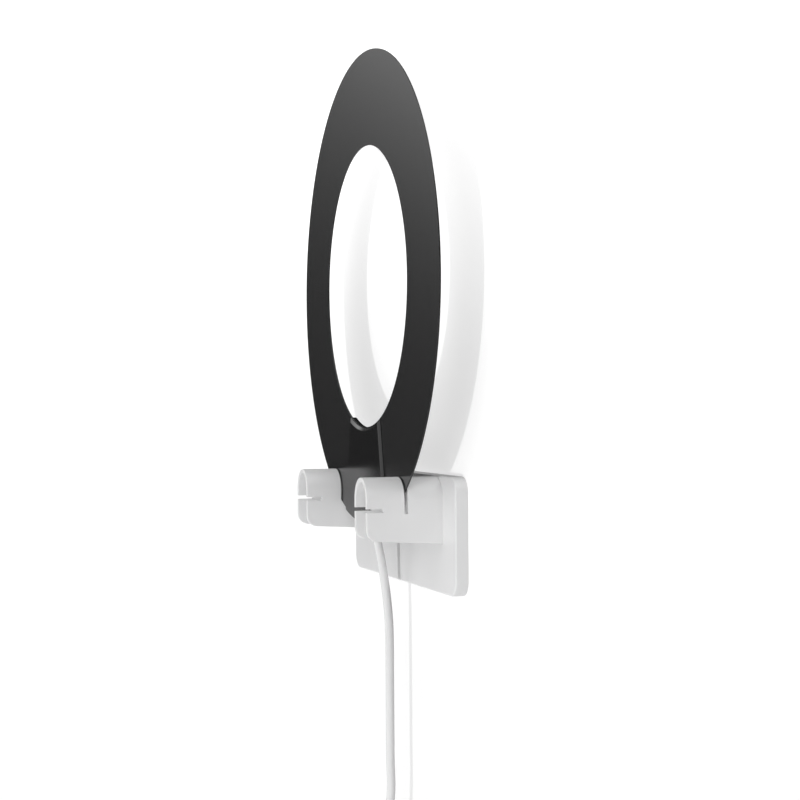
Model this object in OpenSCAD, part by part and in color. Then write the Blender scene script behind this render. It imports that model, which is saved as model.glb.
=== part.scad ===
// Flat ring indoor aerial that stands in two slotted arms on a wall plate.
// Origin: middle of the wall plate's back face. +Y points into the wall, +Z is up.
// The ring, its boss and its cable lift straight up out of the arms' slots.

/* [Wall plate] */
// Width of the wall plate
plate_w = 178.2; // [150:0.2:240]
// Height of the wall plate
plate_h = 58.7; // [50:0.1:90]
// Thickness of the wall plate, rim to back
plate_t = 6.6; // [5:0.1:12]
// Radius of the plate's corners
plate_corner_r = 8; // [3:0.5:16]
// Front wall and rim of the moulding
plate_wall = 2.4; // [1.6:0.1:4]
// Distance between the two wall screws
screw_spacing = 68; // [40:1:90]
// Height of the wall screws above the plate's middle
screw_z = 8; // [-14:1:14]
// Radius of the wall screw holes
screw_hole_r = 2.1; // [1.5:0.1:3]
// Radius of a round anti-slip pad
pad_r = 5; // [3:0.5:7]

/* [Arms] */
// Distance between the middles of the two arms
arm_spacing = 118; // [90:1:150]
// Half width of an arm, which is the radius of its arched top
arm_r = 11.1; // [8:0.1:16]
// Wall of the hollow arms
arm_wall = 2.4; // [1.6:0.1:4]
// How far the arms reach out from the wall
arm_reach = 46; // [40:1:70]
// Height of the arms' arched top above the plate's middle
arm_top_z = 28.8; // [26:0.1:34]
// Height of the arms' lower edge at the free end
arm_low_z = -2.2; // [-6:0.1:2]
// Angle at which the lower edge drops towards the plate
arm_low_angle = 3.3; // [0:0.1:6]
// Radius of the lower corner at the free end
arm_corner_r = 6; // [2:0.5:9]

/* [Slots] */
// Distance from the wall to the middle of the upright slots
slot_y = 25.6; // [20:0.1:34]
// Width of the upright slots
slot_w = 1.9; // [1.4:0.1:4]
// Height of the upright slots' floor
slot_floor_z = 10.9; // [6:0.1:16]
// Height of the end slots' lower face
end_slot_z = 11.7; // [4:0.1:18]
// Width of the end slots, which hold the ring when the plate lies on a table
end_slot_w = 1.9; // [1.4:0.1:4]
// Depth of the end slots
end_slot_depth = 8.5; // [5:0.1:14]

/* [Ring panel] */
// Outer radius of the ring
ring_r = 125; // [105:1:150]
// Radius of the ring's round opening
hole_r = 74.4; // [60:0.2:88]
// Height of the opening's middle above the ring's middle
hole_lift = 0.7; // [0:0.1:3]
// Thickness of each plastic skin
skin_t = 0.3; // [0.2:0.05:0.8]
// Thickness of the metal foil between the skins
foil_t = 0.12; // [0.06:0.02:0.3]
// Distance from the foil to the ring's outer and inner edges
foil_margin = 9; // [3:0.5:16]
// Gap between the two feeding ends of the foil
feed_gap = 8; // [4:0.5:16]
// Clearance under the ring where it stands in the slots
seat_gap = 0.2; // [0.1:0.05:0.5]

/* [Boss] */
// Half width of the boss at the ring's opening
boss_top_half = 28.1; // [22:0.1:32]
// Growth of the half width for each millimetre down
boss_flare = 0.223; // [0:0.001:0.3]
// Thickness of the front cover
front_cover_t = 1.2; // [0.8:0.1:3]
// Width of the front cover's bevelled sides
front_bevel = 3; // [1:0.1:5]
// Depth of the rear cover at its thin top edge
rear_top_t = 2.4; // [2.2:0.1:4]
// Depth of the rear cover where it holds the board
rear_deep_t = 10; // [9.8:0.1:14]
// Wall of the rear cover
rear_wall = 1.5; // [1:0.1:2.5]
// Height above the ring's lowest point where the rear cover reaches its full depth
rear_deep_up = 28; // [26:1:34]

/* [Cable] */
// Diameter of the cable
cable_d = 4.6; // [3.6:0.1:6]
// Width of the cable tie round the bundle
tie_w = 12; // [6:1:20]
// Diameter of the plug's grip
grip_d = 12.6; // [11:0.2:16]
// Length of the plug's grip
grip_len = 24; // [18:1:34]
// Outer radius of the plug's metal shell
shell_r = 4.76; // [4:0.01:5]
// Length of the metal shell beyond the grip
shell_len = 9.5; // [8:0.5:14]

/* [Hidden] */

round_fn = 96;    // true circles
small_fn = 32;    // small true circles
over = 1;         // how far a cutting shape runs past what it cuts
fit = 0.1;        // clearance round a piece in its own seat

// Places in the ring panel, front to back
panel_t = 2 * skin_t + foil_t;
panel_front_y = -slot_y - panel_t / 2;
panel_back_y = panel_front_y + panel_t;

// The ring's edge stands on the inner edge of each slot floor
arm_x = arm_spacing / 2;
seat_x = arm_x - arm_r;
ring_z = slot_floor_z + seat_gap + sqrt(pow(ring_r, 2) - pow(seat_x, 2));
hole_z = ring_z + hole_lift;
ring_low_z = ring_z - ring_r;

// Lower edge of the arms, with a drop towards the plate
arm_low_back_z = arm_low_z - (arm_reach - plate_t) * tan(arm_low_angle);
arm_corner_z = arm_low_z - arm_corner_r * tan(arm_low_angle);

// Back pockets of the plate, on both sides of a solid middle land
land_half = 18;
rib_t = 1.6;
bays = 3;
pocket_depth = plate_t - plate_wall;
bay_pitch = (plate_w / 2 - plate_wall - land_half + rib_t) / bays;
screw_boss_r = screw_hole_r + 3.4;
screw_sink_r = 2 * screw_hole_r;
pad_t = 0.8;
pad_seat_r = pad_r + 1.5;
pad_x = plate_w / 2 - plate_corner_r - pad_r;
pad_z = plate_h / 2 - plate_wall - pad_r - 1;

// Boss covers: the outline follows the ring's opening above and its rim below
edge_gap = 0.3;
boss_top = hole_r - 4.4;
boss_foot_r = ring_r - edge_gap;
boss_head_r = hole_r + edge_gap;
boss_foot_z = ring_z - boss_foot_r;
function boss_half(down) = boss_top_half + boss_flare * (down - boss_top);
rear_slope_z = hole_z - hole_r - 4;

// Fixings between the two covers
stud_r = 1.4;
stud_z = hole_z - hole_r - 8;
stud_x = boss_top_half - 8;
stud_len = 1.6;
post_r = 2.6;
post_z = ring_low_z + 20;
post_x = boss_half(ring_z - post_z) - 7;
post_len = 4.2;
cover_screw_r = 1;
cover_head_r = 2;
cover_head_t = 1.2;
cover_head_at = 1.6;

// Inside the boss
board_w = min(44, 2 * (post_x - post_r - 0.6));
board_h = 17;
board_t = 1;
board_low_z = ring_low_z + 6.5;
board_y = panel_back_y + 0.85;
board_top_y = board_y + board_t;
core_x = -15;
core_r = 3;
core_hole_r = 1.1;
core_h = 2.4;
core_y = board_top_y + 0.5;
core_z = board_low_z + board_h - 5;
wire_t = 0.3;
chip_x = 8;
chip_pitch = 4;
spring_x = 11;
spring_w = 3;
spring_t = 0.3;
spring_z = board_low_z + board_h / 2 + 1;
spring_h = 3;

// The cable leaves the boss straight down here
cable_r = cable_d / 2;
cable_out_y = panel_back_y + cable_r + 2.34;
relief_top_r = cable_r + 1.6;
relief_end_r = cable_r + 0.5;
relief_neck_r = cable_r + 0.7;
relief_flange_r = relief_neck_r + 0.6;
relief_flange_z = boss_foot_z + rear_wall + 0.2;
relief_flange_t = 1;

// The rear cover is at least deep enough for the relief's flange
rear_depth = max(rear_deep_t, cable_r + 2.34 + relief_flange_r + rear_wall + 2 * fit);
rear_back_y = panel_back_y + rear_depth;
clamp_z = board_low_z + 3;
clamp_h = 4;
clamp_t = 0.6;
clamp_screw_r = 0.8;
clamp_screw_x = cable_r + 2.9;
cable_end_top_z = clamp_z + clamp_h + 1;
core_end_r = 1.4;
wire_end_r = 0.4;

// Route of the cable's hanging stretch, and of its short end below the bundle
lead_route = [[0, -20.6, -4], [0, -19.3, -10], [0, -17.8, -18], [0, -16, -29], [0, -14.6, -40],
              [0, -13.7, -51], [0, -13.4, -63], [0, -13.4, -75], [0, -13.4, -145],
              [-1, -15, -155], [-3.5, -18.6, -165], [-6.5, -20.3, -175]];
tail_route = [[-18.4, -15.7, -254], [-18, -15, -261], [-17.4, -14.2, -267], [-17, -13.4, -274]];
relief_low_z = lead_route[0][2];
cable_sides = 12;
ring_step = 12;

// Bundle of folded cable: two turns deep and four layers thick
bundle_fold_r = 13.8;
bundle_half_w = bundle_fold_r + 1.5 * cable_d;
bundle_t = 4 * cable_d;
bundle_top_z = -194;
bundle_low_z = -246;
bundle_y = -13.4;
tie_t = 1.2;

// Plug
plug_at = tail_route[len(tail_route) - 1];
shell_wall = 0.5;
shell_root = 3;
shell_root_r = shell_r - 0.3;
shell_in_r = shell_root_r - shell_wall;
pin_r = 1.15;
pin_len = 8.5;
insulator_t = 3;

// ---- shared shapes ----

// Draws its 2D child in the upright XZ plane and gives it depth from y0 to y1
module upright(y0, y1) {
    translate([0, y1, 0])
        rotate([90, 0, 0])
            linear_extrude(height = y1 - y0)
                children();
}

module rounded_rect(w, h, r) {
    square([w - 2 * r, h], center = true);
    square([w, h - 2 * r], center = true);
    for (x = [-1, 1], y = [-1, 1])
        translate([x * (w / 2 - r), y * (h / 2 - r)])
            circle(r, $fn = round_fn);
}

// ---- wall bracket ----

module screw_places() {
    for (side = [-1, 1])
        translate([side * screw_spacing / 2, 0, screw_z])
            children();
}

module pad_places() {
    for (x = [-1, 1], z = [-1, 1])
        translate([x * pad_x, 0, z * pad_z])
            children();
}

// Pockets between the rim, the middle land and the ribs
module pocket_outline() {
    difference() {
        rounded_rect(plate_w - 2 * plate_wall, plate_h - 2 * plate_wall,
                     plate_corner_r - plate_wall);
        square([2 * land_half, plate_h], center = true);
        square([plate_w, rib_t], center = true);
        for (side = [-1, 1], rib = [1 : bays - 1])
            translate([side * (land_half + rib * bay_pitch - rib_t / 2), 0])
                square([rib_t, plate_h], center = true);
    }
}

module wall_plate() {
    color("white")
        difference() {
            union() {
                difference() {
                    upright(-plate_t, 0) rounded_rect(plate_w, plate_h, plate_corner_r);
                    upright(-pocket_depth, over) pocket_outline();
                }
                screw_places() upright(-plate_t + plate_wall / 2, 0) circle(screw_boss_r, $fn = round_fn);
                pad_places() upright(-plate_t + plate_wall / 2, 0) circle(pad_seat_r, $fn = round_fn);
            }
            screw_places() upright(-plate_t - over, over) circle(screw_hole_r, $fn = round_fn);
            screw_places()
                translate([0, -plate_t + screw_sink_r - screw_hole_r, 0])
                    rotate([90, 0, 0])
                        cylinder(h = screw_sink_r - screw_hole_r + over, r1 = screw_hole_r,
                                 r2 = screw_sink_r + over, $fn = round_fn);
            pad_places() upright(-pad_t, over) circle(pad_r + fit, $fn = round_fn);
        }
}

module anti_slip_pads() {
    color("dimgray")
        pad_places() upright(-pad_t, 0) circle(pad_r, $fn = round_fn);
}

// Arched cross-section of an arm, open below
module arm_section(r) {
    translate([0, arm_top_z - arm_r]) circle(r, $fn = round_fn);
    translate([-r, arm_low_back_z - over])
        square([2 * r, arm_top_z - arm_r - arm_low_back_z + over]);
}

// Side outline of an arm: the lower edge slopes and its outer corner is round
module arm_side() {
    difference() {
        polygon([[-arm_reach, arm_top_z + over], [-arm_reach, arm_low_z],
                 [-plate_t, arm_low_back_z], [-plate_t, arm_top_z + over]]);
        translate([-arm_reach, arm_corner_z])
            difference() {
                translate([-over, -over]) square(arm_corner_r + over);
                translate([arm_corner_r, arm_corner_r]) circle(arm_corner_r, $fn = round_fn);
            }
    }
}

module arm(x) {
    translate([x, 0, 0])
        difference() {
            intersection() {
                upright(-arm_reach, -plate_t)
                    difference() {
                        arm_section(arm_r);
                        arm_section(arm_r - arm_wall);
                    }
                translate([-arm_r - over, 0, 0])
                    rotate([90, 0, 90])
                        linear_extrude(height = 2 * (arm_r + over))
                            arm_side();
            }
            translate([-arm_r - over, -slot_y - slot_w / 2, slot_floor_z])
                cube([2 * (arm_r + over), slot_w, arm_top_z]);
            translate([-arm_r - over, -arm_reach - over, end_slot_z])
                cube([2 * (arm_r + over), end_slot_depth + over, end_slot_w]);
        }
}

module arm_left() {
    color("white") arm(-arm_x);
}

module arm_right() {
    color("white") arm(arm_x);
}

// ---- ring panel ----

// Round holes for the front cover's studs and posts
module fixing_holes(clearance) {
    for (side = [-1, 1]) {
        translate([side * stud_x, stud_z]) circle(stud_r + clearance, $fn = small_fn);
        translate([side * post_x, post_z]) circle(post_r + clearance, $fn = small_fn);
    }
}

module stud_places() {
    for (side = [-1, 1])
        translate([side * stud_x, 0, stud_z])
            children();
}

module post_places() {
    for (side = [-1, 1])
        translate([side * post_x, 0, post_z])
            children();
}

module ring_outline(inset) {
    difference() {
        translate([0, ring_z]) circle(ring_r - inset, $fn = round_fn);
        translate([0, hole_z]) circle(hole_r + inset, $fn = round_fn);
    }
}

module foil_outline() {
    difference() {
        ring_outline(foil_margin);
        translate([-feed_gap / 2, ring_low_z - over]) square([feed_gap, ring_r - hole_r]);
        fixing_holes(1);
    }
}

module panel_front_skin() {
    color("black")
        upright(panel_front_y, panel_front_y + skin_t)
            difference() {
                ring_outline(0);
                fixing_holes(fit);
            }
}

// The rear skin has a shallow recess that the foil fills
module panel_rear_skin() {
    color("black")
        difference() {
            upright(panel_front_y + skin_t, panel_back_y)
                difference() {
                    ring_outline(0);
                    fixing_holes(fit);
                    spring_windows();
                }
            upright(panel_front_y, panel_front_y + skin_t + foil_t) foil_outline();
        }
}

// Windows in the rear skin where the springs reach the foil
module spring_windows() {
    for (side = [-1, 1])
        translate([side * spring_x, spring_z + spring_h / 2])
            square([spring_w + 1, spring_h + 1], center = true);
}

module radiator_foil() {
    color("goldenrod")
        upright(panel_front_y + skin_t, panel_front_y + skin_t + foil_t) foil_outline();
}

// ---- boss covers ----

module boss_outline(inset) {
    polygon([[-boss_half(boss_top) + inset, ring_z - boss_top],
             [boss_half(boss_top) - inset, ring_z - boss_top],
             [boss_half(ring_r) - inset, ring_low_z],
             [-boss_half(ring_r) + inset, ring_low_z]]);
}

// The opening's edge and the ring's rim cut the boss outline to two arcs
module boss_shape(inset) {
    intersection() {
        difference() {
            boss_outline(inset);
            translate([0, hole_z]) circle(boss_head_r + inset, $fn = round_fn);
        }
        translate([0, ring_z]) circle(boss_foot_r - inset, $fn = round_fn);
    }
}

module front_cover() {
    color("black")
        difference() {
            union() {
                difference() {
                    intersection() {
                        hull() {
                            upright(panel_front_y - 0.3, panel_front_y) boss_outline(0);
                            upright(panel_front_y - front_cover_t, panel_front_y)
                                boss_outline(front_bevel);
                        }
                        upright(panel_front_y - front_cover_t, panel_front_y)
                            translate([0, ring_z]) circle(boss_foot_r, $fn = round_fn);
                    }
                    translate([0, panel_front_y + edge_gap, hole_z])
                        rotate([90, 0, 0])
                            cylinder(h = front_cover_t + 2 * edge_gap, r1 = boss_head_r,
                                     r2 = boss_head_r + 2, $fn = round_fn);
                }
                stud_places()
                    upright(panel_front_y - fit, panel_back_y + stud_len)
                        circle(stud_r, $fn = small_fn);
                post_places()
                    upright(panel_front_y - fit, panel_back_y + post_len)
                        circle(post_r, $fn = small_fn);
            }
            post_places()
                upright(panel_back_y, panel_back_y + post_len + over)
                    circle(cover_screw_r, $fn = small_fn);
        }
}

// Side outline of the rear cover: thin above, deep below, less an even wall
module rear_side(wall) {
    polygon([[panel_back_y - (wall > 0 ? over : 0), ring_z - boss_top],
             [panel_back_y + rear_top_t - wall, ring_z - boss_top],
             [panel_back_y + rear_top_t - wall, rear_slope_z],
             [rear_back_y - wall, ring_low_z + rear_deep_up - wall],
             [rear_back_y - wall, ring_low_z],
             [panel_back_y - (wall > 0 ? over : 0), ring_low_z]]);
}

module rear_body(wall) {
    intersection() {
        upright(panel_back_y - over, rear_back_y + over) boss_shape(wall);
        translate([-boss_half(ring_r) - over, 0, 0])
            rotate([90, 0, 90])
                linear_extrude(height = 2 * (boss_half(ring_r) + over))
                    rear_side(wall);
    }
}

module rear_cover() {
    color("black")
        difference() {
            union() {
                difference() {
                    rear_body(0);
                    rear_body(rear_wall);
                }
                stud_places()
                    upright(panel_back_y, panel_back_y + rear_top_t)
                        circle(stud_r + 1, $fn = small_fn);
                post_places()
                    upright(panel_back_y + post_len, rear_back_y - rear_wall / 2)
                        circle(post_r + 0.6, $fn = small_fn);
            }
            stud_places()
                upright(panel_back_y - over, panel_back_y + stud_len)
                    circle(stud_r + fit, $fn = small_fn);
            post_places() {
                upright(panel_back_y, rear_back_y + over)
                    circle(cover_screw_r + fit, $fn = small_fn);
                upright(panel_back_y + post_len + cover_head_at, rear_back_y + over)
                    circle(cover_head_r + fit, $fn = small_fn);
            }
            translate([0, cable_out_y, boss_foot_z - over])
                cylinder(h = rear_wall + 2 * over, r = relief_neck_r + fit, $fn = small_fn);
        }
}

module cover_screws() {
    head_y = panel_back_y + post_len + cover_head_at;
    color("silver")
        post_places() {
            upright(panel_back_y + 0.8, head_y) circle(cover_screw_r, $fn = small_fn);
            upright(head_y, head_y + cover_head_t) circle(cover_head_r, $fn = small_fn);
        }
}

// ---- inside the boss ----

module clamp_screw_places() {
    for (side = [-1, 1])
        translate([side * clamp_screw_x, 0, clamp_z + clamp_h / 2])
            children();
}

module matching_board() {
    color("darkgreen")
        difference() {
            translate([-board_w / 2, board_y, board_low_z])
                cube([board_w, board_t, board_h]);
            clamp_screw_places()
                upright(board_y - over, board_top_y + over)
                    circle(clamp_screw_r, $fn = small_fn);
        }
}

module balun_core() {
    color("darkslategray")
        translate([core_x, 0, core_z])
            upright(core_y, core_y + core_h)
                difference() {
                    circle(core_r, $fn = small_fn);
                    circle(core_hole_r, $fn = small_fn);
                }
}

// Two loops of wire round the core, with a little room inside each
module balun_winding() {
    loop_y = core_h + 2 * fit;
    loop_z = core_r - core_hole_r + 2 * fit;
    color("chocolate")
        for (side = [-1, 1])
            translate([core_x, core_y + core_h / 2, core_z + side * (core_r + core_hole_r) / 2])
                difference() {
                    cube([2 * wire_t, loop_y + 2 * wire_t, loop_z + 2 * wire_t], center = true);
                    cube([over, loop_y, loop_z], center = true);
                }
}

module chip_capacitors() {
    color("tan")
        for (place = [0 : 2])
            translate([chip_x + chip_pitch * place, board_top_y, core_z])
                cube([2, 0.9, 1.2]);
}

// Bent spring strips that press on the foil's two ends through the rear skin
module feed_springs() {
    foot_y = panel_back_y - skin_t;
    color("silver")
        for (side = [-1, 1])
            translate([side * spring_x - spring_w / 2, foot_y, spring_z]) {
                cube([spring_w, spring_t, spring_h]);
                translate([0, 0, spring_h - spring_t])
                    cube([spring_w, board_y - foot_y, spring_t]);
            }
}

// Hat-shaped strap that holds the cable down on the board
module cable_clamp() {
    inner = cable_r;
    outer = cable_r + clamp_t;
    foot = clamp_screw_x + 2;
    color("silver")
        difference() {
            translate([0, 0, clamp_z])
                linear_extrude(height = clamp_h)
                    polygon([[-foot, board_top_y], [-inner, board_top_y],
                             [-inner, cable_out_y + inner], [inner, cable_out_y + inner],
                             [inner, board_top_y], [foot, board_top_y],
                             [foot, board_top_y + clamp_t], [outer, board_top_y + clamp_t],
                             [outer, cable_out_y + outer], [-outer, cable_out_y + outer],
                             [-outer, board_top_y + clamp_t], [-foot, board_top_y + clamp_t]]);
            clamp_screw_places()
                upright(board_y, board_top_y + clamp_t + over)
                    circle(clamp_screw_r + fit, $fn = small_fn);
        }
}

module clamp_screws() {
    head_y = board_top_y + clamp_t;
    color("silver")
        clamp_screw_places() {
            upright(board_y, head_y) circle(clamp_screw_r, $fn = small_fn);
            upright(head_y, head_y + clamp_t) circle(2 * clamp_screw_r, $fn = small_fn);
        }
}

// Stripped end of the cable: the jacket held by the clamp, then insulation and wire
module cable_end() {
    color("white")
        translate([0, cable_out_y, relief_flange_z + relief_flange_t])
            cylinder(h = cable_end_top_z - relief_flange_z - relief_flange_t, r = cable_r,
                     $fn = small_fn);
}

module cable_core() {
    color("peru")
        translate([0, cable_out_y, cable_end_top_z]) {
            cylinder(h = 3, r = core_end_r, $fn = small_fn);
            translate([0, 0, 3]) cylinder(h = 3, r = wire_end_r, $fn = small_fn);
        }
}

// ---- cable, bundle and plug ----

module strain_relief() {
    color("white")
        translate([0, cable_out_y, 0]) {
            translate([0, 0, relief_low_z])
                cylinder(h = boss_foot_z - fit - relief_low_z, r1 = relief_end_r,
                         r2 = relief_top_r, $fn = small_fn);
            translate([0, 0, boss_foot_z - 2 * fit])
                cylinder(h = relief_flange_z - boss_foot_z + 3 * fit, r = relief_neck_r,
                         $fn = small_fn);
            translate([0, 0, relief_flange_z])
                cylinder(h = relief_flange_t, r = relief_flange_r, $fn = small_fn);
        }
}

function mix_point(p0, p1, p2, p3, t) =
    0.5 * (2 * p1 + (p2 - p0) * t + (2 * p0 - 5 * p1 + 4 * p2 - p3) * t * t
           + (3 * p1 - p0 - 3 * p2 + p3) * t * t * t);

// A smooth line through a route's points, in steps of about ring_step
function smooth_route(p) =
    [for (i = [0 : len(p) - 2])
        let (before = p[max(i - 1, 0)], after = p[min(i + 2, len(p) - 1)],
             steps = max(1, ceil(norm(p[i + 1] - p[i]) / ring_step)))
            for (s = [0 : steps - 1]) mix_point(before, p[i], p[i + 1], after, s / steps),
     p[len(p) - 1]];

// Direction of the route at one ring; the first and last rings are cut level
function along(p, i) =
    i == 0 || i == len(p) - 1 ? [0, 0, -1] : (p[i + 1] - p[i - 1]) / norm(p[i + 1] - p[i - 1]);

function ring_points(centre, way) =
    let (side = cross(way, [0, 1, 0]) / norm(cross(way, [0, 1, 0])), up = cross(side, way))
        [for (k = [0 : cable_sides - 1])
            let (a = 360 * k / cable_sides) centre + cable_r * (cos(a) * side + sin(a) * up)];

module cable_tube(route) {
    line = smooth_route(route);
    count = len(line);
    points = [for (i = [0 : count - 1]) each ring_points(line[i], along(line, i))];
    walls = [for (i = [0 : count - 2], k = [0 : cable_sides - 1])
                let (next = (k + 1) % cable_sides, low = i * cable_sides, high = low + cable_sides)
                    each [[low + k, high + k, high + next], [low + k, high + next, low + next]]];
    first = [for (k = [0 : cable_sides - 1]) k];
    last = [for (k = [cable_sides - 1 : -1 : 0]) (count - 1) * cable_sides + k];
    polyhedron(points, concat(walls, [first], [last]));
}

module antenna_cable() {
    color("white") cable_tube(lead_route);
}

module plug_tail() {
    color("white") cable_tube(tail_route);
}

module cable_bundle() {
    color("white")
        upright(bundle_y - bundle_t / 2, bundle_y + bundle_t / 2) {
            translate([-bundle_half_w, bundle_low_z])
                square([2 * bundle_half_w, bundle_top_z - bundle_low_z]);
            for (z = [bundle_low_z, bundle_top_z])
                translate([0, z]) circle(bundle_half_w, $fn = round_fn);
        }
}

module bundle_tie() {
    color("dimgray")
        translate([0, bundle_y, (bundle_low_z + bundle_top_z - tie_w) / 2])
            difference() {
                translate([-bundle_half_w - tie_t, -bundle_t / 2 - tie_t, 0])
                    cube([2 * (bundle_half_w + tie_t), bundle_t + 2 * tie_t, tie_w]);
                translate([-bundle_half_w, -bundle_t / 2, -over])
                    cube([2 * bundle_half_w, bundle_t, tie_w + 2 * over]);
            }
}

module plug_grip() {
    color("white")
        translate([plug_at[0], plug_at[1], plug_at[2] - grip_len])
            difference() {
                union() {
                    cylinder(h = grip_len - 6, r = grip_d / 2, $fn = round_fn);
                    translate([0, 0, grip_len - 6])
                        cylinder(h = 6, r1 = grip_d / 2, r2 = cable_r + 0.8, $fn = round_fn);
                }
                translate([0, 0, -over])
                    cylinder(h = shell_root + over, r = shell_root_r, $fn = round_fn);
            }
}

module plug_shell() {
    color("silver")
        translate([plug_at[0], plug_at[1], plug_at[2] - grip_len - shell_len])
            difference() {
                union() {
                    cylinder(h = shell_len, r = shell_r, $fn = round_fn);
                    cylinder(h = shell_len + shell_root, r = shell_root_r, $fn = round_fn);
                }
                translate([0, 0, -over])
                    cylinder(h = shell_len + shell_root - shell_wall + over, r = shell_in_r,
                             $fn = round_fn);
            }
}

module plug_insulator() {
    color("ivory")
        translate([plug_at[0], plug_at[1], plug_at[2] - grip_len + shell_root - shell_wall - insulator_t])
            difference() {
                cylinder(h = insulator_t, r = shell_in_r, $fn = round_fn);
                translate([0, 0, -over])
                    cylinder(h = insulator_t + 2 * over, r = pin_r, $fn = round_fn);
            }
}

module plug_pin() {
    color("silver")
        translate([plug_at[0], plug_at[1], plug_at[2] - grip_len - pin_len]) {
            translate([0, 0, pin_r])
                cylinder(h = pin_len + shell_root - shell_wall - pin_r, r = pin_r, $fn = round_fn);
            intersection() {
                translate([0, 0, pin_r]) sphere(pin_r, $fn = small_fn);
                cylinder(h = pin_r, r = pin_r + over, $fn = round_fn);
            }
        }
}

wall_plate();
arm_left();
arm_right();
anti_slip_pads();
panel_front_skin();
panel_rear_skin();
radiator_foil();
front_cover();
rear_cover();
cover_screws();
matching_board();
balun_core();
balun_winding();
chip_capacitors();
feed_springs();
cable_clamp();
clamp_screws();
cable_end();
cable_core();
strain_relief();
antenna_cable();
cable_bundle();
bundle_tie();
plug_tail();
plug_grip();
plug_shell();
plug_insulator();
plug_pin();
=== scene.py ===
"""Flat ring indoor aerial in two slotted arms on a wall plate.

Shapes are made in millimetres and brought to metres when a piece is finished.
Origin: middle of the wall plate's back face. +Y points into the wall, +Z is up.
"""

import math

import bmesh
import bpy
from mathutils import Matrix, Vector


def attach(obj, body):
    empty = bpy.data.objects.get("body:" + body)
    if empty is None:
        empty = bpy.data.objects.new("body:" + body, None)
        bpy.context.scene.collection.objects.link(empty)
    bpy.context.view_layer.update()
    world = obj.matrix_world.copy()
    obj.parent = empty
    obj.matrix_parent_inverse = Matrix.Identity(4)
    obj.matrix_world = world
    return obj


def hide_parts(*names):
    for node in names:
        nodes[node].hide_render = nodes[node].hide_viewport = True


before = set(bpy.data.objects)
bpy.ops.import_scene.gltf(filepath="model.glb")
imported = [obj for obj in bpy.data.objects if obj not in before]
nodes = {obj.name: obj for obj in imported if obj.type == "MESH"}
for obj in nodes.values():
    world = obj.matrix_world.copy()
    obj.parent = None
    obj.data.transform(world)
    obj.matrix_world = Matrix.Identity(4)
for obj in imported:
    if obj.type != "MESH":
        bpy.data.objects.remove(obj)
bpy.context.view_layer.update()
scene = bpy.context.scene

MM = 0.001

# ---- sizes in millimetres, as in the part's source ----

PLATE_W, PLATE_H, PLATE_T, PLATE_CORNER = 178.2, 58.7, 6.6, 8
PLATE_WALL, POCKET_DEPTH, LAND_HALF, RIB_T, BAYS = 2.4, 4.2, 18, 1.6, 3
FRONT_ROUND, BACK_ROUND, POCKET_CORNER, POCKET_ROUND = 0.8, 0.12, 0.8, 0.5
SCREW_X, SCREW_Z, SCREW_R, SCREW_BOSS_R = 34, 8, 2.1, 5.5
PAD_X, PAD_Z, PAD_R, PAD_T, PAD_SEAT_R = 76.1, 20.95, 5, 0.8, 6.5

ARM_X, ARM_R, ARM_WALL, ARM_REACH = 59, 11.1, 2.4, 46
ARM_TOP, ARM_LOW, ARM_LEAN, ARM_CORNER, ARM_ROUND = 28.8, -2.2, 3.3, 6, 0.4
ARM_SLOPE = math.tan(math.radians(ARM_LEAN))
SLOT_FRONT, SLOT_BACK, SLOT_FLOOR = -26.55, -24.65, 10.9
END_SLOT_LOW, END_SLOT_HIGH, END_SLOT_BACK = 11.7, 13.6, -37.5

RING_Z, RING_R, HOLE_Z, HOLE_R = 126.559, 125, 127.259, 74.4
RING_LOW = RING_Z - RING_R
PANEL_FRONT, PANEL_MID, PANEL_BACK, FOIL_BACK = -25.96, -25.66, -25.24, -25.54
FOIL_MARGIN = 9

COVER_HALF, COVER_FLARE, COVER_DOWN = 28.1, 0.223, 70
COVER_T, COVER_EDGE, COVER_BEVEL = 1.2, 0.3, 3
HEAD_R, FOOT_R = HOLE_R + 0.3, RING_R - 0.3
REAR_TOP_Y, REAR_DEEP_Y, REAR_WALL = PANEL_BACK + 2.4, PANEL_BACK + 10, 1.5
REAR_SLOPE_TOP, REAR_SLOPE_LOW = HOLE_Z - HOLE_R - 4, RING_LOW + 28
STUD_X, STUD_Z, STUD_R = 20.1, 44.859, 1.4
POST_X, POST_Z, POST_R = 28.9, 21.559, 2.6
POST_BACK, SCREW_HEAD_Y = PANEL_BACK + 4.2, PANEL_BACK + 5.8

CABLE_R, CABLE_OUT_Y = 2.3, -20.6
RELIEF_LOW, NECK_R, FLANGE_R, BOSS_FOOT = -4, 3, 3.6, RING_Z - FOOT_R
HANK_TOP, HANK_LOW, FOLD_R, LAYERS = -194, -246, 13.8, (-20.3, -15.7, -11.1, -6.5)
PLUG_X, PLUG_Y, PLUG_Z = -17, -13.4, -274
GRIP_LOW, GRIP_R, SHELL_LOW, SHELL_R = -298, 6.3, -307.5, 4.76
SEAT_R, BORE_R, PIN_R, PIN_TIP = 4.46, 3.96, 1.15, -306.5
INSULATOR_LOW, INSULATOR_TOP = -298.5, -295.5

# ---- camera ----

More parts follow.
